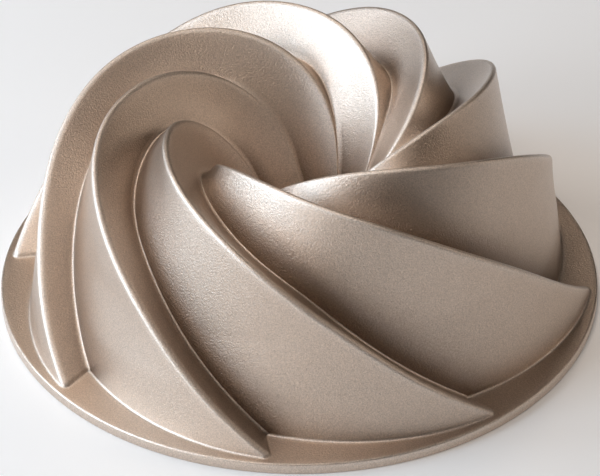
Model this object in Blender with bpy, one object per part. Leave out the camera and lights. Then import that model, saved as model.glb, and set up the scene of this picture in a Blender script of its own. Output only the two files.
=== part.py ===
"""Fluted ring cake pan, standing upside down on its rim: a one-piece aluminium casting and its lining.

The wall has eight flutes. Each flute is made of a crest, which starts as a pointed tip on the flange, twists
clockwise as it climbs, goes over the crown and winds down the centre tube, and of a valley, which starts beside
the tip and does the same lower down. A broad face runs from each valley to the next crest, and a narrow face
drops from that crest to the next valley. Down in the tube each crest meets the valley of the flute before it.
Lengths below are millimetres and angles are degrees; the mesh is made in metres.
"""

import math

import bmesh
import bpy
import numpy as np

MM = 0.001

FLANGE_RADIUS = 131.0
FLANGE_THICKNESS = 5.2
FLANGE_EDGE_ROUND = 0.9
WALL = 3.0
FLUTES = 8
FIRST_TIP_ANGLE = -5.25

# Stations from the flange over the crown to the tube's end: radius, height above the flange, twist.
CREST_STATIONS = (
    (127.0, 0.0, -0.1),
    (120.0, 22.5, 14.0),
    (112.3, 46.4, 28.3),
    (103.9, 68.0, 44.1),
    (91.4, 85.5, 62.9),
    (73.5, 93.0, 86.1),
    (54.6, 88.8, 113.3),
    (38.3, 68.5, 146.2),
    (24.2, 36.3, 173.5),
    (14.2, 2.0, 195.0),
)
VALLEY_STATIONS = (
    (112.5, 0.0, 1.6),
    (106.1, 17.3, 12.9),
    (99.3, 35.9, 24.9),
    (91.2, 53.9, 37.9),
    (81.5, 64.7, 51.7),
    (67.7, 72.7, 69.6),
    (52.3, 74.0, 91.1),
    (36.5, 60.4, 109.8),
    (25.1, 36.3, 128.1),
    (15.4, 2.0, 149.6),
)
LAST_STATION = len(CREST_STATIONS) - 1
TUBE_END = FLANGE_THICKNESS + CREST_STATIONS[LAST_STATION][1]

# The ridge along each crest is a round, small at the tip, full on the wall and small again down the tube.
TIP_RADIUS = 2.0
RIDGE_RADIUS = 4.8
TUBE_RIDGE_RADIUS = 1.2
RIDGE_FULL_AT = 2.5
RIDGE_WANES_AT = 6.0
RIDGE_WANES_OVER = 1.8
INSIDE_RADIUS = 2.4
MOST_RIDGE_SHARE = 0.44

# How far the middle of each face is hollowed, at stations along the flute, and how far its foot swells.
HOLLOW_AT = (0.0, 1.0, 2.0, 3.5, 5.0, 6.5, 7.5, 9.0)
BROAD_HOLLOW = (0.0, 0.1, 1.6, 1.8, 2.0, 1.4, 0.1, 0.0)
NARROW_HOLLOW = (0.0, 0.0, 1.0, 2.0, 0.4, 0.1, 0.0, 0.0)
FOOT_SWELL = 1.0
SWELL_GONE_AT = 2.0

LINING_GAP = 0.3
LINING_THICKNESS = 0.5
LINING_END_INSET = 0.6

BROAD_STEPS = (0.0, 0.25, 0.5, 0.75)
RIDGE_STEPS = (0.0, 0.25, 0.5, 0.75, 1.0)
NARROW_STEPS = (0.5,)
ROWS = 22
TIP_SWEEP = 6.0
RIM_RIDGE_SHARE = 0.06
EDGE_ARC_STEPS = 2

CHAMPAGNE = (0.47, 0.385, 0.32, 1.0)
TAUPE = (0.20, 0.165, 0.14, 1.0)
SHARP_ANGLE = math.radians(35.0)


def clear_scene():
    for item in list(bpy.data.objects):
        bpy.data.objects.remove(item, do_unlink=True)


def spline_slopes(values):
    """The slope at each station of the natural cubic spline through evenly spaced values."""
    count = len(values)
    matrix = np.zeros((count, count))
    right = np.zeros_like(values)
    for i in range(1, count - 1):
        matrix[i, i - 1 : i + 2] = 1.0, 4.0, 1.0
        right[i] = 3.0 * (values[i + 1] - values[i - 1])
    matrix[0, :2] = 2.0, 1.0
    right[0] = 3.0 * (values[1] - values[0])
    matrix[-1, -2:] = 1.0, 2.0
    right[-1] = 3.0 * (values[-1] - values[-2])
    return np.linalg.solve(matrix, right)


class Guide:
    """A smooth space curve through stations, in radius, height and angle, straight on past both ends."""

    def __init__(self, stations):
        radius, height, twist = np.array(stations).T
        angle = np.radians(FIRST_TIP_ANGLE - twist)
        self.values = np.stack([radius, height + FLANGE_THICKNESS, angle], axis=1)
        self.slopes = spline_slopes(self.values)

    def at(self, u):
        i = int(min(max(math.floor(u), 0), LAST_STATION - 1))
        t = u - i
        start, end = self.values[i], self.values[i + 1]
        slope_start, slope_end = self.slopes[i], self.slopes[i + 1]
        if t < 0.0:
            return start + slope_start * t
        if t > 1.0:
            return end + slope_end * (t - 1.0)
        return (
            start * (1 + 2 * t) * (1 - t) ** 2
            + slope_start * t * (1 - t) ** 2
            + end * t * t * (3 - 2 * t)
            + slope_end * t * t * (t - 1)
        )


CREST = Guide(CREST_STATIONS)
VALLEY = Guide(VALLEY_STATIONS)


def xyz(point, turn=0.0):
    radius, height, angle = point
    return np.array([radius * math.cos(angle + turn), radius * math.sin(angle + turn), height])


def cylindrical(point, near_angle):
    """Radius, height and angle of a point, with the angle within half a turn of near_angle."""
    angle = math.atan2(point[1], point[0])
    angle += 2 * math.pi * round((near_angle - angle) / (2 * math.pi))
    return np.array([math.hypot(point[0], point[1]), point[2], angle])


PITCH = 2 * math.pi / FLUTES


def unit(vector):
    return vector / np.linalg.norm(vector)


def face_normal(start, end, along):
    """The outward normal of the face from start to end, whose flutes run in the direction along."""
    return unit(np.cross(end - start, along))


def mitre(corner, before, after, along, depth):
    """The corner moved inwards so that both faces beside it move in by depth."""
    first = face_normal(before, corner, along)
    second = face_normal(corner, after, along)
    return corner - depth * (first + second) / (1.0 + first @ second)


NEAR = 0.12
STEP_ALONG = 0.02
ONE_FLUTE = np.array([0.0, 0.0, PITCH])


def sides(corner, low, high):
    """Points a little way down the two faces that meet at a corner."""
    return xyz(corner + NEAR * (low - corner)), xyz(corner + NEAR * (high - corner))


def half_turn(before, corner, after):
    """Half the angle that a section turns through at a corner."""
    cosine = unit(corner - before) @ unit(after - corner)
    return 0.5 * math.acos(min(max(cosine, -1.0), 1.0))


def smoothstep(value):
    value = min(max(value, 0.0), 1.0)
    return value * value * (3 - 2 * value)


def radius_at(u):
    """The ridge's radius: small at the tip, full on the wall, small again down the tube."""
    waxing = (RIDGE_RADIUS - TIP_RADIUS) * smoothstep(u / RIDGE_FULL_AT)
    waning = (RIDGE_RADIUS - TUBE_RIDGE_RADIUS) * smoothstep((u - RIDGE_WANES_AT) / RIDGE_WANES_OVER)
    return TIP_RADIUS + waxing - waning


def corner_at(u):
    """Where the two faces at a crest would meet, so that the rounded ridge passes through the crest itself."""
    crest, valley = CREST.at(u), VALLEY.at(u)
    top = xyz(crest)
    before, after = sides(crest, valley - ONE_FLUTE, valley)
    outward = -unit(unit(before - top) + unit(after - top))
    lift = radius_at(u) * (1 / math.cos(half_turn(before, top, after)) - 1)
    return cylindrical(top + lift * outward, crest[2])


def corner_at_depth(u, depth):
    """The crest's corner on the surface depth below the outer one."""
    corner, valley = corner_at(u), VALLEY.at(u)
    along = xyz(corner_at(u + STEP_ALONG)) - xyz(corner_at(u - STEP_ALONG))
    before, after = sides(corner, valley - ONE_FLUTE, valley)
    return cylindrical(mitre(xyz(corner), before, after, along, depth), corner[2])


def valley_at_depth(u, depth):
    """The valley on the surface depth below the outer one."""
    corner, valley = corner_at(u), VALLEY.at(u)
    along = xyz(VALLEY.at(u + STEP_ALONG)) - xyz(VALLEY.at(u - STEP_ALONG))
    before, after = sides(valley, corner, corner + ONE_FLUTE)
    return cylindrical(mitre(xyz(valley), before, after, along, depth), valley[2])


def where_height(curve, depth, height, low, high):
    """The u between low and high at which a curve is at a height."""
    rising = curve(high, depth)[1] > curve(low, depth)[1]
    for _ in range(40):
        middle = 0.5 * (low + high)
        if (curve(middle, depth)[1] < height) == rising:
            low = middle
        else:
            high = middle
    return 0.5 * (low + high)


def outward_at(u):
    """The outward direction of the wall's profile at u, in radius, height and angle."""
    step = (CREST.at(u + STEP_ALONG) + VALLEY.at(u + STEP_ALONG)) - (
        CREST.at(u - STEP_ALONG) + VALLEY.at(u - STEP_ALONG)
    )
    return unit(np.array([step[1], -step[0], 0.0]))


def ridge(before, corner, after):
    """A round corner from before to after, which lie about equally far from it."""
    turn = half_turn(before, corner, after)
    handle = (4 / 3) * math.tan(turn / 2) / math.tan(turn)
    first = before + handle * (corner - before)
    second = after + handle * (corner - after)
    points = []
    for s in RIDGE_STEPS:
        leaving = (1 - s) ** 3 * before + 3 * s * (1 - s) ** 2 * first
        points.append(leaving + 3 * s * s * (1 - s) * second + s**3 * after)
    return points


def broad_point(low, corner, u, share):
    """A point on the broad face, this share of the way from the valley to the crest's corner."""
    hollow = float(np.interp(u, HOLLOW_AT, BROAD_HOLLOW))
    swell = FOOT_SWELL * min(max(1 - u / SWELL_GONE_AT, 0.0), 1.0) ** 2
    sunk = hollow * 4 * share * (1 - share) - swell * 6.75 * share * share * (1 - share)
    return xyz(low + (corner - low) * share - sunk * outward_at(u))


def narrow_point(corner, valley, u, share):
    """A point on the narrow face, this share of the way from the crest's corner to the valley."""
    sunk = float(np.interp(u, HOLLOW_AT, NARROW_HOLLOW)) * 4 * share * (1 - share)
    return xyz(corner + (valley - corner) * share - sunk * outward_at(u))


def section(first_corner, first_valley, u, radius):
    """One closed row of points round the wall, from its crest's corner and its valley."""
    row = []
    for flute in range(FLUTES):
        low = first_valley + (flute - 1) * ONE_FLUTE
        corner = first_corner + flute * ONE_FLUTE
        valley = first_valley + flute * ONE_FLUTE
        top = xyz(corner)
        beside_low, beside_valley = sides(corner, low, valley)
        broad, narrow = np.linalg.norm(top - xyz(low)), np.linalg.norm(xyz(valley) - top)
        tangent = radius * math.tan(half_turn(beside_low, top, beside_valley))
        tangent = min(tangent, MOST_RIDGE_SHARE * broad, MOST_RIDGE_SHARE * narrow)
        broad_share, narrow_share = tangent / broad, tangent / narrow
        for step in BROAD_STEPS:
            row.append(broad_point(low, corner, u, step * (1 - broad_share)))
        before = broad_point(low, corner, u, 1 - broad_share)
        after = narrow_point(corner, valley, u, narrow_share)
        row.extend(ridge(before, top, after))
        for step in NARROW_STEPS:
            row.append(narrow_point(corner, valley, u, narrow_share + (1 - narrow_share) * step))
    return row


def wall_rows(depth, foot, end):
    """The rows of one skin of the wall, from the height of its foot to the height of its tube end."""
    curves = (corner_at_depth, valley_at_depth)
    starts = [where_height(curve, depth, foot, -1.5, 1.5) for curve in curves]
    ends = [where_height(curve, depth, end, LAST_STATION - 1.0, LAST_STATION + 1.0) for curve in curves]
    rows = []
    for i in range(ROWS + 1):
        share = i / ROWS
        u = share * LAST_STATION
        corner = corner_at_depth(starts[0] + (ends[0] - starts[0]) * share, depth)
        valley = valley_at_depth(starts[1] + (ends[1] - starts[1]) * share, depth)
        radius = radius_at(u) if depth == 0.0 else INSIDE_RADIUS
        rows.append(section(corner, valley, u, radius))
    for point in rows[0]:
        point[2] = foot
    for point in rows[-1]:
        point[2] = end
    return rows


def rim_angles():
    """The angle on the flange's edge that each point of a section's foot joins to."""
    half = len(RIDGE_STEPS) // 2
    climbing = [step * (1 - RIM_RIDGE_SHARE) for step in BROAD_STEPS]
    climbing += [1 - RIM_RIDGE_SHARE * (1 - i / half) for i in range(half + 1)]
    columns = len(BROAD_STEPS) + len(RIDGE_STEPS) + len(NARROW_STEPS)
    falling = columns - len(climbing) + 1
    sweep = math.radians(TIP_SWEEP)
    angles = []
    for flute in range(FLUTES):
        tip = math.radians(FIRST_TIP_ANGLE) + flute * PITCH
        angles.extend(tip - (PITCH - sweep) * (1 - share) for share in climbing)
        angles.extend(tip + sweep * i / falling for i in range(1, falling))
    return angles


def flange_rows():
    """The rows round the flange's edge, from its top face to its underside."""
    corner = FLANGE_EDGE_ROUND
    profile = []
    for centre, first in ((FLANGE_THICKNESS - corner, 90.0), (corner, 0.0)):
        for i in range(EDGE_ARC_STEPS + 1):
            angle = math.radians(first - 90.0 * i / EDGE_ARC_STEPS)
            radius = FLANGE_RADIUS - corner + corner * math.cos(angle)
            profile.append((radius, centre + corner * math.sin(angle)))
    angles = rim_angles()
    return [[xyz((radius, height, angle)) for angle in angles] for radius, height in profile]


def closed_body(name, rows, material):
    """An object skinned over closed rows of points, the last row joined to the first."""
    bm = bmesh.new()
    rings = [[bm.verts.new(point * MM) for point in row] for row in rows]
    for lower, upper in zip(rings, rings[1:] + rings[:1]):
        for i in range(len(lower)):
            j = (i + 1) % len(lower)
            bm.faces.new((lower[i], lower[j], upper[j], upper[i]))
    bmesh.ops.triangulate(bm, faces=bm.faces[:], quad_method="SHORT_EDGE")
    bmesh.ops.recalc_face_normals(bm, faces=bm.faces[:])
    mesh = bpy.data.meshes.new(name)
    bm.to_mesh(mesh)
    bm.free()
    mesh.shade_smooth()
    mesh.set_sharp_from_angle(angle=SHARP_ANGLE)
    mesh.materials.append(material)
    body = bpy.data.objects.new(name, mesh)
    bpy.context.scene.collection.objects.link(body)
    return body


def coated_metal(name, colour, roughness):
    material = bpy.data.materials.new(name)
    material.use_nodes = True
    shader = material.node_tree.nodes["Principled BSDF"]
    shader.inputs["Base Color"].default_value = colour
    shader.inputs["Metallic"].default_value = 1.0
    shader.inputs["Roughness"].default_value = roughness
    return material


def make_cast_body():
    """The whole casting: flange, fluted wall, crown and centre tube, in one piece."""
    outside = wall_rows(0.0, FLANGE_THICKNESS, TUBE_END)
    inside = wall_rows(WALL, 0.0, TUBE_END)
    rows = flange_rows()[::-1] + outside + inside[::-1]
    return closed_body("cast_body", rows, coated_metal("champagne_coating", CHAMPAGNE, 0.42))


def make_lining():
    """The release lining of the cavity, which follows the casting's inner skin."""
    foot, end = LINING_END_INSET, TUBE_END + LINING_END_INSET
    near = wall_rows(WALL + LINING_GAP, foot, end)
    far = wall_rows(WALL + LINING_GAP + LINING_THICKNESS, foot, end)
    return closed_body("nonstick_lining", near + far[::-1], coated_metal("release_lining", TAUPE, 0.5))


clear_scene()
make_cast_body()
make_lining()
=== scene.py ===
"""The looks of the fluted ring cake pan: a casting with a sandy champagne coat, and its release lining."""

import math

import bpy
import numpy as np
from mathutils import Matrix, Vector


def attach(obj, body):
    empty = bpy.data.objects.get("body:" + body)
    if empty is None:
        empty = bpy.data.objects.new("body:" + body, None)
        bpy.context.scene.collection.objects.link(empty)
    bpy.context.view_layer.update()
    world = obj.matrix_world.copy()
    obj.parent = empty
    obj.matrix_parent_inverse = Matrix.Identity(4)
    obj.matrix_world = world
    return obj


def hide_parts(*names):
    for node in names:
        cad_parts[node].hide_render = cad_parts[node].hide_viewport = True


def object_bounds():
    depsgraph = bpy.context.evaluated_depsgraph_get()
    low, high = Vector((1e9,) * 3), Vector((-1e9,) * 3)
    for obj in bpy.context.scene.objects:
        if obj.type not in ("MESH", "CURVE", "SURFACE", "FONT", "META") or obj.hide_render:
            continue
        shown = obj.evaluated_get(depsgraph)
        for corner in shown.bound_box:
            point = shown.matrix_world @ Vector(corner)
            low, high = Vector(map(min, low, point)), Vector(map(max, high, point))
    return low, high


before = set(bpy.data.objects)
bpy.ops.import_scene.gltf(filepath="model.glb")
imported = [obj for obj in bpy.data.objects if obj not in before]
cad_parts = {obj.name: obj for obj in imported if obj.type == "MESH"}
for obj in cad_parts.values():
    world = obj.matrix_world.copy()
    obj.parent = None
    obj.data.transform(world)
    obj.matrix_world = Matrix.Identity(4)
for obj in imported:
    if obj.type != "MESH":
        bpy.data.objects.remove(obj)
cad_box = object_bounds()

# The pan's lengths are millimetres until they are scaled by MM, which comes from the CAD box.
FLANGE_RADIUS = 131.0
MM = 0.5 * (cad_box[1][0] - cad_box[0][0]) / FLANGE_RADIUS
FLANGE_THICKNESS = 5.2
FLANGE_EDGE_ROUND = 0.9
WALL = 3.0
FLUTES = 8
PITCH = 2 * math.pi / FLUTES
ONE_FLUTE = np.array([0.0, 0.0, PITCH])
FIRST_TIP_ANGLE = math.radians(-5.25)

# Stations from the flange over the crown to the tube's end: radius, height above the flange, and twist in
# degrees.
CREST_STATIONS = (
    (127.0, 0.0, -0.1),
    (120.0, 22.5, 14.0),
    (112.3, 46.4, 28.3),
    (103.9, 68.0, 44.1),
    (91.4, 85.5, 62.9),
    (73.5, 93.0, 86.1),
    (54.6, 88.8, 113.3),
    (38.3, 68.5, 146.2),
    (24.2, 36.3, 173.5),
    (14.2, 2.0, 195.0),
)
VALLEY_STATIONS = (
    (112.5, 0.0, 1.6),
    (106.1, 17.3, 12.9),
    (99.3, 35.9, 24.9),
    (91.2, 53.9, 37.9),
    (81.5, 64.7, 51.7),
    (67.7, 72.7, 69.6),
    (52.3, 74.0, 91.1),
    (36.5, 60.4, 109.8),
    (25.1, 36.3, 128.1),
    (15.4, 2.0, 149.6),
)
LAST_STATION = len(CREST_STATIONS) - 1
TUBE_END = FLANGE_THICKNESS + CREST_STATIONS[LAST_STATION][1]

# How far, in stations, the ends of a skin's corner lines are searched for, and how often the search halves.
FOOT_SEARCH = 1.5
END_SEARCH = 1.0
HALVINGS = 40

# The rounding of the ridge along each crest, and of the fillets along each valley and round the foot.
TIP_RADIUS = 2.0
RIDGE_RADIUS = 4.8
TUBE_RIDGE_RADIUS = 1.2
RIDGE_FULL_AT = 2.5
RIDGE_WANES_AT = 6.0
RIDGE_WANES_OVER = 1.8
VALLEY_RADIUS = 1.4
FOOT_FILLET = 1.0
INSIDE_RADIUS = 2.4

# The largest share of the narrower face that a rounding takes.
MOST_SHARE = 0.44

# The angle of the flange's edge that the foot of each narrow face joins to.
TIP_SWEEP = math.radians(6.0)

# How far the middle of each face is hollowed, at stations along the flute, and how far the broad face swells
# at its foot, with the station by which the swelling is gone.
HOLLOW_AT = (0.0, 1.0, 2.0, 3.5, 5.0, 6.5, 7.5, 9.0)
BROAD_HOLLOW = (0.0, 0.1, 1.6, 1.8, 2.0, 1.4, 0.1, 0.0)
NARROW_HOLLOW = (0.0, 0.0, 0.5, 1.5, 0.4, 0.1, 0.0, 0.0)
FOOT_SWELL = 1.0
SWELL_GONE_AT = 2.0

# A face's slope at a corner is read this share of the way across it, and a line's over this many stations
# each way.
NEAR = 0.12
STEP_ALONG = 0.02

# The lining lies inside the wall, and its foot and its tube end both sit this far above the casting's.
LINING_GAP = 0.2
LINING_THICKNESS = 0.4
LINING_LIFT = 0.6

# The fineness of the meshes. A flute's columns run over its valley fillet, broad face, ridge and narrow face.
BROAD_COLUMNS = 24
RIDGE_COLUMNS = 10
NARROW_COLUMNS = 12
VALLEY_COLUMNS = 5
TIP_COLUMN = VALLEY_COLUMNS - 1 + BROAD_COLUMNS + RIDGE_COLUMNS // 2 - 1
FLUTE_COLUMNS = VALLEY_COLUMNS - 1 + BROAD_COLUMNS + RIDGE_COLUMNS - 2 + NARROW_COLUMNS - 1
WALL_ROWS = 168
INSIDE_ROWS = 72
FILLET_ROWS = 6
FLANGE_ROWS = 6
EDGE_ROWS = 7

# At stations along the flute: how far the recess reaches up each face from its valley, how much shade is
# painted into the coat there, a negative value painting light instead, and how far the wear and the painted
# highlight reach down from the ridge.
RECESS_AT = (0.0, 1.0, 2.0, 3.0, 4.0, 5.0, 6.0, 7.0, 8.0)
BROAD_RECESS = (12.0, 19.0, 18.0, 16.0, 14.0, 10.0, 8.0, 8.0, 8.0)
BROAD_PAINTED_SHADE = (1.0, 1.0, 1.0, 1.0, 1.0, 1.0, 0.3, 0.3, 0.6)
NARROW_RECESS = (5.0, 5.0, 5.0, 5.0, 5.0, 5.0, 5.0, 6.0, 10.0)
NARROW_PAINTED_SHADE = (-1.0, -1.0, -1.0, -0.5, 0.6, 0.6, 0.0, 0.1, 0.9)
RIDGE_WEAR_AND_HIGHLIGHT = (4.0, 4.0, 4.0, 4.0, 4.0, 4.0, 4.0, 8.0, 12.0)
RECESS_FADE = 1.7

# How the fillets and the flange's upper edge lie, on the scale from -1 in a recess to 1 on a ridge: both are
# painted lighter, the fillets as a painted highlight and the edge partly as wear and partly as a painted
# highlight.
FILLET_LIE = 0.75
EDGE_LIE = 0.6

# A coat's tones are for its recess, face and ridge: the recess tone is painted shade, the ridge tone partly
# wear and partly a painted highlight. Its roughness is a range. A grain is a noise's scale and detail, then
# its height in metres in the recess and on the face.
CHAMPAGNE_TONES = ((0.215, 0.138, 0.09), (0.72, 0.59, 0.49), (0.86, 0.745, 0.65))
CHAMPAGNE_ROUGHNESS = (0.36, 0.42)
CHAMPAGNE_GRAINS = ((1250.0, 2.0, 0.00046, 0.00018), (2600.0, 2.0, 0.00020, 0.00015))
CHAMPAGNE_LACQUER = 0.5
LINING_TONES = ((0.25, 0.20, 0.165), (0.33, 0.275, 0.23), (0.36, 0.30, 0.25))
LINING_ROUGHNESS = (0.42, 0.5)
LINING_GRAINS = ((900.0, 2.0, 0.00012, 0.00012),)
LINING_LACQUER = 0.2

# What both coats share. The speckle and the sheen are noises of a scale and a detail.
LACQUER_ROUGHNESS = 0.3
SPECKLE = (1700.0, 2.0)
DARKEST_SPECK = 0.68
SHEEN = (60.0, 3.0)
NOISE_LOW = 0.3
NOISE_HIGH = 0.7
FINE_NOISE_ROUGHNESS = 0.6
RIDGE_DULLS = 0.10
DULLS_FROM = 0.6
DEEP_RECESS = -0.9

# The camera, which stands off from a point above the flange and is turned a little away from it. Its lens and
# sensor are in millimetres, and its near clip is in metres.
CAMERA_DISTANCE = 9.98 * FLANGE_RADIUS
CAMERA_ELEVATION = math.radians(35.097)
CAMERA_TARGET_HEIGHT = FLANGE_THICKNESS + 0.3 * FLANGE_RADIUS
CAMERA_TILT = math.radians(0.729)
CAMERA_TURN = math.radians(-0.022)
CAMERA_ROLL = math.radians(-0.266)
LENS = 181.28
SENSOR_WIDTH = 36.0
CLIP_START = 0.05

# The floor, in metres.
FLOOR_REACH = 6.0
FLOOR_COLOUR = (0.9, 0.9, 0.9, 1.0)
FLOOR_ROUGHNESS = 0.9
FLOOR_GLOW = 0.08
WHITE = (1.0, 1.0, 1.0, 1.0)

# The soft boxes' common centre, distance from it and side, in metres.
LIGHT_CENTRE = Vector((0.0, 0.0, 0.04))
LIGHT_DISTANCE = 1.6
LIGHT_SIDE = 0.54

# Three tints of light: a window's sky, plain daylight, and a warm room.
SKY = (0.55, 0.78, 1.0)
DAYLIGHT = (0.88, 0.93, 1.0)
WARM = (1.0, 0.85, 0.72)

# The studio's soft boxes: elevation and azimuth in degrees, power in watts, tint.
SOFT_BOXES = (
    ("left_key", 24.0, 206.0, 8.0, DAYLIGHT),
    ("left_window", 24.0, 180.0, 6.0, SKY),
    ("left_back", 24.0, 154.0, 5.0, DAYLIGHT),
    ("left_high", 43.0, 196.0, 3.5, SKY),
    ("left_back_high", 43.0, 164.0, 2.0, WARM),
    ("left_low", 6.0, 206.0, 5.0, SKY),
    ("left_back_low", 6.0, 180.0, 2.5, DAYLIGHT),
    ("front_low", 6.0, 231.0, 2.5, WARM),
    ("top_front", 62.0, 257.0, 5.5, WARM),
    ("overhead", 82.0, 240.0, 1.0, DAYLIGHT),
    ("top_back", 62.0, 103.0, 5.0, WARM),
    ("right_fill", 24.0, 0.0, 2.5, WARM),
)


def spline_slopes(values):
    """The slope at each station of the natural cubic spline through evenly spaced values."""
    count = len(values)
    matrix = np.zeros((count, count))
    right = np.zeros_like(values)
    for i in range(1, count - 1):
        matrix[i, i - 1 : i + 2] = 1.0, 4.0, 1.0
        right[i] = 3.0 * (values[i + 1] - values[i - 1])
    matrix[0, :2] = 2.0, 1.0
    right[0] = 3.0 * (values[1] - values[0])
    matrix[-1, -2:] = 1.0, 2.0
    right[-1] = 3.0 * (values[-1] - values[-2])
    return np.linalg.solve(matrix, right)


class Guide:
    """A smooth space curve through stations, in radius, height and angle, straight on past both ends."""

    def __init__(self, stations):
        radius, height, twist = np.array(stations).T
        angle = FIRST_TIP_ANGLE - np.radians(twist)
        self.values = np.stack([radius, height + FLANGE_THICKNESS, angle], axis=1)
        self.slopes = spline_slopes(self.values)

    def at(self, u):
        """The curve's point at u, which counts stations."""
        u = np.asarray(u, float)
        inside = np.clip(u, 0.0, LAST_STATION)
        i = np.minimum(inside.astype(int), LAST_STATION - 1)
        t = (inside - i)[..., None]
        start, end = self.values[i], self.values[i + 1]
        slope_start, slope_end = self.slopes[i], self.slopes[i + 1]
        point = (
            start * (1 + 2 * t) * (1 - t) ** 2
            + slope_start * t * (1 - t) ** 2
            + end * t * t * (3 - 2 * t)
            + slope_end * t * t * (t - 1)
        )
        before = np.minimum(u, 0.0)[..., None] * self.slopes[0]
        beyond = np.maximum(u - LAST_STATION, 0.0)[..., None] * self.slopes[-1]
        return point + before + beyond


CREST = Guide(CREST_STATIONS)
VALLEY = Guide(VALLEY_STATIONS)


def xyz(points):
    """Points in radius, height and angle as points in x, y and z."""
    radius, height, angle = points[..., 0], points[..., 1], points[..., 2]
    return np.stack([radius * np.cos(angle), radius * np.sin(angle), height], axis=-1)


def cylindrical(points, near_angle):
    """Points in x, y and z as points in radius, height and angle, on the turn nearest to near_angle."""
    angle = np.arctan2(points[..., 1], points[..., 0])
    angle = angle + 2 * np.pi * np.round((near_angle - angle) / (2 * np.pi))
    return np.stack([np.hypot(points[..., 0], points[..., 1]), points[..., 2], angle], axis=-1)


def unit(vectors):
    """The vectors at length one."""
    return vectors / np.maximum(np.linalg.norm(vectors, axis=-1, keepdims=True), 1e-9)


def smoothstep(value):
    """A smooth rise from 0 to 1 as the value goes from 0 to 1."""
    value = np.clip(value, 0.0, 1.0)
    return value * value * (3 - 2 * value)


def mitre(corner, before, after, along, depth):
    """Where two faces that meet at a corner, along a line, would meet once both are moved in by depth."""
    first = unit(np.cross(corner - before, along))
    second = unit(np.cross(after - corner, along))
    share = 1.0 + (first * second).sum(axis=-1, keepdims=True)
    return corner - depth * (first + second) / share


def radius_at(u):
    """The ridge's radius: small at the tip, full on the wall, small again down the tube."""
    waxing = (RIDGE_RADIUS - TIP_RADIUS) * smoothstep(u / RIDGE_FULL_AT)
    waning = (RIDGE_RADIUS - TUBE_RIDGE_RADIUS) * smoothstep((u - RIDGE_WANES_AT) / RIDGE_WANES_OVER)
    return TIP_RADIUS + waxing - waning


def sides(corner, low, high):
    """Points a little way down the two faces that meet at a corner."""
    return xyz(corner + NEAR * (low - corner)), xyz(corner + NEAR * (high - corner))


def half_turn(before, corner, after):
    """Half the angle that a section turns through at a corner."""
    cosine = (unit(corner - before) * unit(after - corner)).sum(axis=-1)
    return 0.5 * np.arccos(np.clip(cosine, -1.0, 1.0))


def corner_at(u):
    """Where the faces at a crest would meet, so that the rounded ridge passes through the crest itself."""
    crest, valley = CREST.at(u), VALLEY.at(u)
    top = xyz(crest)
    before, after = sides(crest, valley - ONE_FLUTE, valley)
    outward = -unit(unit(before - top) + unit(after - top))
    lift = radius_at(u) * (1 / np.cos(half_turn(before, top, after)) - 1)
    return cylindrical(top + lift[..., None] * outward, crest[..., 2])


def corner_at_depth(u, depth):
    """The crest's corner on a skin this far inside the outside."""
    corner, valley = corner_at(u), VALLEY.at(u)
    if depth == 0.0:
        return corner
    along = xyz(corner_at(u + STEP_ALONG)) - xyz(corner_at(u - STEP_ALONG))
    before, after = sides(corner, valley - ONE_FLUTE, valley)
    return cylindrical(mitre(xyz(corner), before, after, along, depth), corner[..., 2])


def valley_at_depth(u, depth):
    """The valley's corner on a skin this far inside the outside."""
    corner, valley = corner_at(u), VALLEY.at(u)
    if depth == 0.0:
        return valley
    along = xyz(VALLEY.at(u + STEP_ALONG)) - xyz(VALLEY.at(u - STEP_ALONG))
    before, after = sides(valley, corner, corner + ONE_FLUTE)
    return cylindrical(mitre(xyz(valley), before, after, along, depth), valley[..., 2])


def where_height(curve, depth, height, low, high):
    """The u between low and high at which a skin's corner line is at a height."""
    rising = curve(np.array(high), depth)[1] > curve(np.array(low), depth)[1]
    for _ in range(HALVINGS):
        middle = 0.5 * (low + high)
        if (curve(np.array(middle), depth)[1] < height) == rising:
            low = middle
        else:
            high = middle
    return 0.5 * (low + high)


def arc(before, corner, after, steps):
    """A round corner from before to after, which lie equally far from it, in steps points."""
    turn = half_turn(before, corner, after)
    handle = (4 / 3) * np.tan(turn / 2) / np.maximum(np.tan(turn), 1e-6)
    first = (before + handle[:, None] * (corner - before))[:, None]
    second = (after + handle[:, None] * (corner - after))[:, None]
    s = np.linspace(0.0, 1.0, steps)[None, :, None]
    leaving = (1 - s) ** 3 * before[:, None] + 3 * s * (1 - s) ** 2 * first
    return leaving + 3 * s * s * (1 - s) * second + s**3 * after[:, None]


def profile_normals(corner, valley):
    """The outward direction of the wall's profile at each row, in radius, height and angle."""
    middle = 0.5 * (corner + valley)
    step = np.gradient(middle[:, :2], axis=0)
    outward = np.stack([step[:, 1], -step[:, 0]], axis=1)
    return np.concatenate([unit(outward), np.zeros((len(outward), 1))], axis=1)


def shares(first, last, steps):
    """Even steps across a face from share first to share last, for every row."""
    return first[:, None] + (last - first)[:, None] * np.linspace(0.0, 1.0, steps)[None, :]


def face(start, end, t, hollow, swell):
    """Points at shares t across a face, hollowed most at the middle and swollen most two thirds across."""
    flat = start[:, None] + (end - start)[:, None] * t[..., None]
    middling = 4 * t * (1 - t)
    two_thirds = (27 / 4) * t * t * (1 - t)
    sunk = hollow[:, None] * middling[..., None] - swell[:, None] * two_thirds[..., None]
    return xyz(flat - sunk)


def lie_of(from_valley, width, recess, depth, wear_and_highlight):
    """How points on a face lie: towards -1 in the recess at its valley, where shade is painted, towards 1 on
    its ridge, where wear and a highlight are painted.
    """
    from_ridge = width[:, None] - from_valley
    on_ridge = np.exp(-((from_ridge / wear_and_highlight[:, None]) ** 2))
    return on_ridge - depth[:, None] * np.exp(-((from_valley / recess[:, None]) ** RECESS_FADE))


def tangent_of(radius, before, corner, after, broad, narrow):
    """How far from its corner a fillet of this radius ends, on faces this wide."""
    tangent = radius * np.tan(half_turn(before, corner, after))
    return np.minimum(tangent, MOST_SHARE * np.minimum(broad, narrow))


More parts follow.
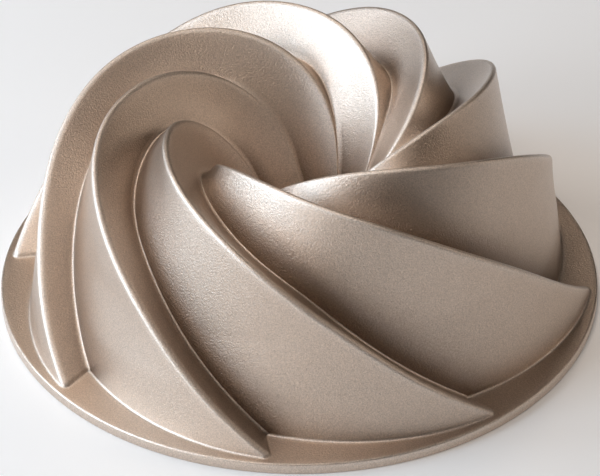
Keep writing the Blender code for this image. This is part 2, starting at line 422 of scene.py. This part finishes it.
def flute_lies(u, broad, narrow, up_broad, down_narrow):
    """How one flute's points lie, for every row, given its faces' widths and the shares across them."""
    # Each face gets painted shade in the recess by its valley, painted light where that value is negative,
    # and wear and a painted highlight by its ridge.
    broad_recess = np.interp(u, RECESS_AT, BROAD_RECESS)
    broad_painted_shade = np.interp(u, RECESS_AT, BROAD_PAINTED_SHADE)
    narrow_recess = np.interp(u, RECESS_AT, NARROW_RECESS)
    narrow_painted_shade = np.interp(u, RECESS_AT, NARROW_PAINTED_SHADE)
    wear_and_highlight = np.interp(u, RECESS_AT, RIDGE_WEAR_AND_HIGHLIGHT)
    fillet_lie = np.full((len(u), VALLEY_COLUMNS - 1), FILLET_LIE)
    broad_lie = lie_of(broad[:, None] * up_broad, broad, broad_recess, broad_painted_shade, wear_and_highlight)
    ridge_lie = np.ones((len(u), RIDGE_COLUMNS - 2))
    narrow_lie = lie_of(narrow[:, None] * (1 - down_narrow), narrow, narrow_recess, narrow_painted_shade, wear_and_highlight)
    return np.concatenate([fillet_lie, broad_lie, ridge_lie, narrow_lie[:, :-1]], axis=1)


def sector(corner, valley, u, ridge_radius, valley_radius):
    """One flute's points and how they lie, for every row, starting at its valley fillet and broad face."""
    low, last_corner = valley - ONE_FLUTE, corner - ONE_FLUTE
    outward = profile_normals(corner, valley)
    broad_hollow = outward * np.interp(u, HOLLOW_AT, BROAD_HOLLOW)[:, None]
    narrow_hollow = outward * np.interp(u, HOLLOW_AT, NARROW_HOLLOW)[:, None]
    swell = outward * (FOOT_SWELL * np.clip(1 - u / SWELL_GONE_AT, 0.0, 1.0) ** 2)[:, None]
    none = np.zeros_like(outward)

    top, bottom = xyz(corner), xyz(low)
    broad = np.linalg.norm(top - bottom, axis=-1)
    narrow = np.linalg.norm(xyz(valley) - top, axis=-1)
    before, after = sides(corner, low, valley)
    tangent = tangent_of(ridge_radius, before, top, after, broad, narrow)
    ridge_broad, ridge_narrow = tangent / broad, tangent / narrow
    before, after = sides(low, last_corner, corner)
    tangent = tangent_of(valley_radius, before, bottom, after, broad, narrow)
    fillet_broad, fillet_narrow = tangent / broad, tangent / narrow

    up_broad = shares(fillet_broad, 1 - ridge_broad, BROAD_COLUMNS)
    down_narrow = shares(ridge_narrow, 1 - fillet_narrow, NARROW_COLUMNS)
    last_down = shares(1 - fillet_narrow, np.ones(len(corner)), 2)
    broad_face = face(low, corner, up_broad, broad_hollow, swell)
    narrow_face = face(corner, valley, down_narrow, narrow_hollow, none)
    last_narrow = face(last_corner, low, last_down, narrow_hollow, none)[:, 0]
    ridge_points = arc(broad_face[:, -1], top, narrow_face[:, 0], RIDGE_COLUMNS)
    fillet_points = arc(last_narrow, bottom, broad_face[:, 0], VALLEY_COLUMNS)
    parts = [fillet_points[:, :-1], broad_face, ridge_points[:, 1:-1], narrow_face[:, :-1]]
    return np.concatenate(parts, axis=1), flute_lies(u, broad, narrow, up_broad, down_narrow)


def round_the_pan(points):
    """The flute's points repeated round the axis."""
    turned = []
    for flute in range(FLUTES):
        cos, sin = math.cos(flute * PITCH), math.sin(flute * PITCH)
        turn = np.array([[cos, sin, 0.0], [-sin, cos, 0.0], [0.0, 0.0, 1.0]])
        turned.append(points @ turn)
    return np.concatenate(turned, axis=1)


def skin(depth, foot, end, rows):
    """One skin of the wall, from its foot's height to its tube end's height: its points and how they lie."""
    share = np.linspace(0.0, 1.0, rows)
    curves = []
    for curve in (corner_at_depth, valley_at_depth):
        first = where_height(curve, depth, foot, -FOOT_SEARCH, FOOT_SEARCH)
        last = where_height(curve, depth, end, LAST_STATION - END_SEARCH, LAST_STATION + END_SEARCH)
        curves.append(curve(first + (last - first) * share, depth))
    corner, valley = curves
    u = share * LAST_STATION
    ridge_radius = radius_at(u) if depth == 0.0 else np.full(rows, INSIDE_RADIUS)
    points, lie = sector(corner, valley, u, ridge_radius, VALLEY_RADIUS + depth)
    points[0, :, 2] = foot
    points[-1, :, 2] = end
    return round_the_pan(points), np.tile(lie, (1, FLUTES))


def rim_angles(foot):
    """The angle on the flange's edge that each column of the foot joins to, spread as along the foot."""
    steps = np.linalg.norm(np.diff(foot[: FLUTE_COLUMNS + 1], axis=0), axis=1)
    along = np.concatenate([[0.0], np.cumsum(steps)])
    tip = along[TIP_COLUMN]
    rising = -(PITCH - TIP_SWEEP) * (1 - along / tip)
    falling = TIP_SWEEP * (along - tip) / (along[-1] - tip)
    tip_angle = math.atan2(foot[TIP_COLUMN, 1], foot[TIP_COLUMN, 0])
    one = tip_angle + np.where(along <= tip, rising, falling)[:-1]
    return np.concatenate([one + flute * PITCH for flute in range(FLUTES)])


def circle(radius, height, angles):
    """Points at these angles round the axis."""
    return np.stack([radius * np.cos(angles), radius * np.sin(angles), np.full_like(angles, height)], axis=-1)


def flange_edge(above, below):
    """Rows round the flange's edge, with the angles above on its top and those below on its underside."""
    corner = FLANGE_EDGE_ROUND
    turns = [(FLANGE_THICKNESS - corner, turn) for turn in np.linspace(90.0, 0.0, EDGE_ROWS)]
    turns += [(corner, turn) for turn in np.linspace(0.0, -90.0, EDGE_ROWS)]
    edge = []
    for i, (centre, turn) in enumerate(turns):
        out, up = corner * math.cos(math.radians(turn)), corner * math.sin(math.radians(turn))
        angles = above + (below - above) * i / (len(turns) - 1)
        edge.append(circle(FLANGE_RADIUS - corner + out, centre + up, angles))
    return edge


def foot_fillet(wall):
    """Rows that turn the wall's lowest row out on to the flange with a small fillet."""
    foot = wall[0].copy()
    foot[:, 2] = FLANGE_THICKNESS
    forward = unit(np.roll(foot, -1, axis=0) - foot)
    along = forward + np.roll(forward, 1, axis=0)
    outward = unit(np.stack([along[:, 1], -along[:, 0], np.zeros(len(foot))], axis=1))
    landing = foot + FOOT_FILLET * outward
    rows = arc(landing, foot, wall[0], FILLET_ROWS)
    return rows.transpose(1, 0, 2)[:-1]


def mesh_object(name, grid, lie, material):
    """A body skinned over closed rows of points, the last row joined to the first."""
    rows, columns = grid.shape[:2]
    index = np.arange(rows * columns).reshape(rows, columns)
    right = np.roll(index, -1, axis=1)
    up = np.roll(index, -1, axis=0)
    up_right = np.roll(right, -1, axis=0)
    quads = np.stack([index, right, up_right, up], axis=-1).reshape(-1, 4)
    mesh = bpy.data.meshes.new(name)
    mesh.from_pydata((grid.reshape(-1, 3) * MM).tolist(), [], quads.tolist())
    mesh.update()
    mesh.attributes.new("lie", "FLOAT", "POINT").data.foreach_set("value", lie.ravel().astype(np.float32))
    mesh.shade_smooth()
    mesh.materials.append(material)
    body = bpy.data.objects.new(name, mesh)
    bpy.context.scene.collection.objects.link(body)
    return body


def noise(nodes, links, place, scale, detail, roughness=0.5):
    """A noise texture in the object's own coordinates."""
    texture = nodes.new("ShaderNodeTexNoise")
    texture.inputs["Scale"].default_value = scale
    texture.inputs["Detail"].default_value = detail
    texture.inputs["Roughness"].default_value = roughness
    links.new(place.outputs["Object"], texture.inputs["Vector"])
    return texture


def spread(nodes, links, source, low, high, from_low=NOISE_LOW, from_high=NOISE_HIGH):
    """A source's range, a noise's middle range unless it is given, mapped to run from low to high."""
    mapped = nodes.new("ShaderNodeMapRange")
    mapped.inputs["From Min"].default_value = from_low
    mapped.inputs["From Max"].default_value = from_high
    mapped.inputs["To Min"].default_value = low
    mapped.inputs["To Max"].default_value = high
    links.new(source.outputs["Fac"], mapped.inputs["Value"])
    return mapped


def tone_colour(nodes, links, place, lie, tones):
    """The coat's tone by how the surface lies, painted shade in the recesses and wear and a painted highlight
    on the ridges, with a fine speckle over it.
    """
    centred = spread(nodes, links, lie, 0.0, 1.0, -1.0, 1.0)
    tone = nodes.new("ShaderNodeValToRGB")
    tone.color_ramp.elements.new(0.5)
    for element, position, colour in zip(tone.color_ramp.elements, (0.0, 0.5, 1.0), tones):
        element.position = position
        element.color = (*colour, 1.0)
    links.new(centred.outputs["Result"], tone.inputs["Fac"])
    speckle = noise(nodes, links, place, *SPECKLE, FINE_NOISE_ROUGHNESS)
    speckle = spread(nodes, links, speckle, DARKEST_SPECK, 1.0)
    mottled = nodes.new("ShaderNodeMix")
    mottled.data_type = "RGBA"
    mottled.blend_type = "MULTIPLY"
    mottled.inputs["Factor"].default_value = 1.0
    links.new(tone.outputs["Color"], mottled.inputs["A"])
    links.new(speckle.outputs["Result"], mottled.inputs["B"])
    return mottled.outputs["Result"]


def sheen_roughness(nodes, links, place, lie, roughness):
    """The coat's roughness: an uneven sheen, duller on the worn ridges."""
    sheen = spread(nodes, links, noise(nodes, links, place, *SHEEN), *roughness)
    worn = spread(nodes, links, lie, 0.0, RIDGE_DULLS, DULLS_FROM, 1.0)
    dulled = nodes.new("ShaderNodeMath")
    links.new(sheen.outputs["Result"], dulled.inputs[0])
    links.new(worn.outputs["Result"], dulled.inputs[1])
    return dulled.outputs["Value"]


def grain_relief(nodes, links, place, lie, grains):
    """The coat's sandy grain, whose height goes by how the surface lies."""
    relief = None
    for scale, detail, in_recess, on_face in grains:
        bump = nodes.new("ShaderNodeBump")
        height = spread(nodes, links, lie, in_recess, on_face, DEEP_RECESS, 0.0)
        links.new(height.outputs["Result"], bump.inputs["Distance"])
        grain = noise(nodes, links, place, scale, detail, FINE_NOISE_ROUGHNESS)
        links.new(grain.outputs["Fac"], bump.inputs["Height"])
        if relief:
            links.new(relief, bump.inputs["Normal"])
        relief = bump.outputs["Normal"]
    return relief


def coated_metal(name, tones, roughness, grains, lacquer):
    """A sprayed metallic coat in tones for recess, face and ridge, with shade painted in the recess and wear
    and a highlight painted on the ridge, an uneven sheen and a sandy grain.
    """
    material = bpy.data.materials.new(name)
    material.use_nodes = True
    nodes, links = material.node_tree.nodes, material.node_tree.links
    shader = nodes["Principled BSDF"]
    shader.inputs["Metallic"].default_value = 1.0
    shader.inputs["Coat Weight"].default_value = lacquer
    shader.inputs["Coat Roughness"].default_value = LACQUER_ROUGHNESS
    place = nodes.new("ShaderNodeTexCoord")
    lie = nodes.new("ShaderNodeAttribute")
    lie.attribute_name = "lie"
    links.new(tone_colour(nodes, links, place, lie, tones), shader.inputs["Base Color"])
    links.new(sheen_roughness(nodes, links, place, lie, roughness), shader.inputs["Roughness"])
    links.new(grain_relief(nodes, links, place, lie, grains), shader.inputs["Normal"])
    return material


def make_casting():
    """The casting: round the flange's edge, over its top, up the outside, and back along the inside."""
    outside, outside_lie = skin(0.0, FLANGE_THICKNESS + FOOT_FILLET, TUBE_END, WALL_ROWS)
    fillet = foot_fillet(outside)
    inside, _ = skin(WALL, 0.0, TUBE_END, INSIDE_ROWS)
    edge = flange_edge(rim_angles(fillet[0]), rim_angles(inside[0]))
    top_circle = edge[0]
    across = np.linspace(0.0, 1.0, FLANGE_ROWS + 1)[1:-1]
    flange = [fillet[0] + (top_circle - fillet[0]) * s for s in across]
    grid = np.concatenate([np.array(edge[::-1]), np.array(flange[::-1]), fillet, outside, inside[::-1]])
    # The wall's lie paints shade in its recesses and wear and highlights on its ridges; the fillets get a
    # painted highlight, and the flange's upper edge partly wear and partly a painted highlight.
    lie = np.zeros(grid.shape[:2])
    first = len(edge) + len(flange) + len(fillet)
    lie[first : first + len(outside)] = outside_lie
    lie[first - len(fillet) : first] = FILLET_LIE
    lie[EDGE_ROWS : 2 * EDGE_ROWS] = EDGE_LIE
    coat = (CHAMPAGNE_TONES, CHAMPAGNE_ROUGHNESS, CHAMPAGNE_GRAINS, CHAMPAGNE_LACQUER)
    body = mesh_object("cast_body_fine", grid, lie, coated_metal("champagne_metallic", *coat))
    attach(body, "root")
    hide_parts("cast_body")


def make_lining():
    """The release lining, a thin shell close to the casting's inside."""
    foot, end = LINING_LIFT, TUBE_END + LINING_LIFT
    near, _ = skin(WALL + LINING_GAP, foot, end, INSIDE_ROWS)
    far, _ = skin(WALL + LINING_GAP + LINING_THICKNESS, foot, end, INSIDE_ROWS)
    grid = np.concatenate([near, far[::-1]])
    coat = (LINING_TONES, LINING_ROUGHNESS, LINING_GRAINS, LINING_LACQUER)
    flat_lie = np.zeros(grid.shape[:2])
    body = mesh_object("release_lining_fine", grid, flat_lie, coated_metal("release_lining", *coat))
    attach(body, "root")
    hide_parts("nonstick_lining")


def make_camera():
    """The camera, tilted a little below its target, which puts the pan high in the frame."""
    data = bpy.data.cameras.new("camera")
    data.lens = LENS
    data.sensor_width = SENSOR_WIDTH
    data.clip_start = CLIP_START
    camera = bpy.data.objects.new("camera", data)
    height = CAMERA_TARGET_HEIGHT + CAMERA_DISTANCE * math.sin(CAMERA_ELEVATION)
    place = Vector((0.0, -CAMERA_DISTANCE * math.cos(CAMERA_ELEVATION), height)) * MM
    tilt = Matrix.Rotation(math.pi / 2 - CAMERA_ELEVATION - CAMERA_TILT, 4, "X")
    turn = Matrix.Rotation(CAMERA_TURN, 4, "Z")
    roll = Matrix.Rotation(CAMERA_ROLL, 4, "Z")
    camera.matrix_world = Matrix.Translation(place) @ turn @ tilt @ roll
    bpy.context.scene.collection.objects.link(camera)
    bpy.context.scene.camera = camera


def soft_box(name, elevation, azimuth, power, tint):
    """A square light that faces the pan."""
    data = bpy.data.lights.new(name, "AREA")
    data.shape = "SQUARE"
    data.size = LIGHT_SIDE
    data.energy = power
    data.color = tint
    light = bpy.data.objects.new(name, data)
    rise, swing = math.radians(elevation), math.radians(azimuth)
    level = math.cos(rise)
    direction = Vector((level * math.cos(swing), level * math.sin(swing), math.sin(rise)))
    light.location = LIGHT_CENTRE + LIGHT_DISTANCE * direction
    light.rotation_euler = direction.to_track_quat("Z", "Y").to_euler()
    bpy.context.scene.collection.objects.link(light)


def make_floor():
    """The pale floor, which glows a little."""
    reach = FLOOR_REACH
    corners = [(-reach, -reach, 0), (reach, -reach, 0), (reach, reach, 0), (-reach, reach, 0)]
    mesh = bpy.data.meshes.new("floor")
    mesh.from_pydata(corners, [], [(0, 1, 2, 3)])
    floor = bpy.data.objects.new("floor", mesh)
    bpy.context.scene.collection.objects.link(floor)
    material = bpy.data.materials.new("pale_floor")
    material.use_nodes = True
    shader = material.node_tree.nodes["Principled BSDF"]
    shader.inputs["Base Color"].default_value = FLOOR_COLOUR
    shader.inputs["Roughness"].default_value = FLOOR_ROUGHNESS
    shader.inputs["Emission Color"].default_value = WHITE
    shader.inputs["Emission Strength"].default_value = FLOOR_GLOW
    mesh.materials.append(material)


def make_lights():
    """The soft boxes, in a world that gives no light of its own."""
    world = bpy.data.worlds.new("studio")
    bpy.context.scene.world = world
    world.use_nodes = True
    background = world.node_tree.nodes["Background"]
    background.inputs["Color"].default_value = WHITE
    background.inputs["Strength"].default_value = 0.0
    for box in SOFT_BOXES:
        soft_box(*box)


make_camera()
make_floor()
make_lights()
make_casting()
make_lining()
bpy.context.scene.view_settings.view_transform = "Standard"
